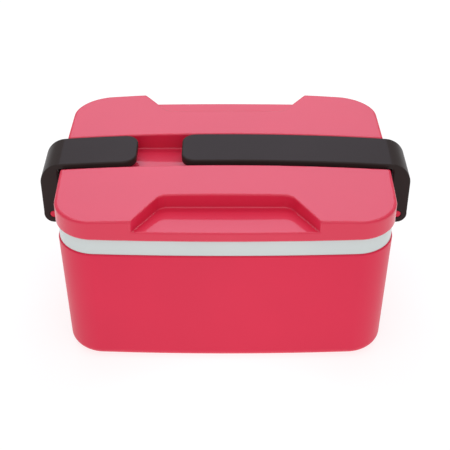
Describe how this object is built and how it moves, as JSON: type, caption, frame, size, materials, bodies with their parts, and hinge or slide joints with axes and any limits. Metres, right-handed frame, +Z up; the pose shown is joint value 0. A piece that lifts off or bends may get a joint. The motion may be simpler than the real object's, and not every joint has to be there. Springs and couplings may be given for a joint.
{
  "type": "electric lunch box",
  "caption": "Rectangular heated lunch box with a domed lift-off lid, finger recesses front and back, and two swing-over arms that clamp the lid from the sides.",
  "frame": {"origin": "centre of the footprint, on the plane that the rubber feet stand on", "axes": "+Z up, +X along the long side towards the arm with the long reach, front towards -Y, power inlet towards +Y"},
  "size_m": [0.239, 0.157, 0.1165],
  "materials": {
    "shell_red": "smooth injection-moulded polypropylene, semi-gloss",
    "lid_red": "smooth injection-moulded polypropylene, semi-gloss",
    "housing_grey": "pale grey moulded plastic, semi-gloss",
    "arm_charcoal": "charcoal moulded plastic, soft gloss",
    "rubber_black": "matt black rubber",
    "screw_steel": "zinc-plated steel",
    "plate_aluminium": "pressed aluminium, satin",
    "silicone_white": "translucent white silicone",
    "silicone_grey": "dark grey silicone",
    "heater_ceramic": "unglazed ceramic",
    "black_plastic": "black glass-filled plastic",
    "pin_brass": "plated brass",
    "lens_amber": "tinted clear plastic",
    "lamp_glass": "small glass neon bulb",
    "lead_brown": "silicone-sleeved lead",
    "lead_blue": "silicone-sleeved lead",
    "lead_white": "silicone-sleeved lead",
    "lead_red": "thin sleeved lead",
    "tray_steel": "pressed stainless steel, satin",
    "tray_lid_plastic": "translucent milky polypropylene"
  },
  "bodies": {
    "base": {"outer_shell": "shell_red", "inner_housing": "housing_grey", "base_cover": "shell_red", "rubber_feet": "rubber_black", "base_screws": "screw_steel", "heating_plate": "plate_aluminium", "plate_seal": "silicone_white", "heater_element": "heater_ceramic", "heater_clamp": "screw_steel", "clamp_screws": "screw_steel", "thermostat": "black_plastic", "thermal_fuse": "heater_ceramic", "power_inlet": "black_plastic", "inlet_pins": "pin_brass", "indicator_lens": "lens_amber", "indicator_lamp": "lamp_glass", "live_lead": "lead_brown", "neutral_lead": "lead_blue", "link_lead": "lead_white", "lamp_leads": "lead_red"},
    "lid": {"lid_cover": "lid_red", "lid_liner": "housing_grey", "lid_seal": "silicone_white", "lid_screws": "screw_steel"},
    "steam_valve": {"steam_plug": "silicone_grey"},
    "arm_left": {"left_arm": "arm_charcoal"},
    "arm_right": {"right_arm": "arm_charcoal"},
    "tray": {"food_tray": "tray_steel"},
    "inner_lid": {"tray_lid": "tray_lid_plastic", "tray_lid_seal": "silicone_white"}
  },
  "joints": [
    {"name": "lid_lift", "type": "slide", "parent": "base", "child": "lid", "axis": [0, 0, 1], "range_m": [0, 0.065]},
    {"name": "left_arm_swing", "type": "hinge", "parent": "base", "child": "arm_left", "pos_m": [-0.1131, 0, 0.0744], "axis": [0, -1, 0], "range_deg": [0, 150]},
    {"name": "right_arm_swing", "type": "hinge", "parent": "base", "child": "arm_right", "pos_m": [0.1131, 0, 0.0744], "axis": [0, 1, 0], "range_deg": [0, 150]},
    {"name": "tray_lid_lift", "type": "slide", "parent": "base", "child": "inner_lid", "axis": [0, 0, 1], "range_m": [0, 0.056]},
    {"name": "tray_lift", "type": "slide", "parent": "base", "child": "tray", "axis": [0, 0, 1], "range_m": [0, 0.043]},
    {"name": "steam_plug_lift", "type": "slide", "parent": "lid", "child": "steam_valve", "axis": [0, 0, 1], "range_m": [0, 0.003]}
  ],
  "couplings": [
    {"joint": "left_arm_swing", "follows": "lid_lift", "rad_per_m": 40},
    {"joint": "right_arm_swing", "follows": "lid_lift", "rad_per_m": 40},
    {"joint": "tray_lid_lift", "follows": "lid_lift", "ratio": 0.85},
    {"joint": "tray_lift", "follows": "lid_lift", "ratio": 0.65}
  ]
}
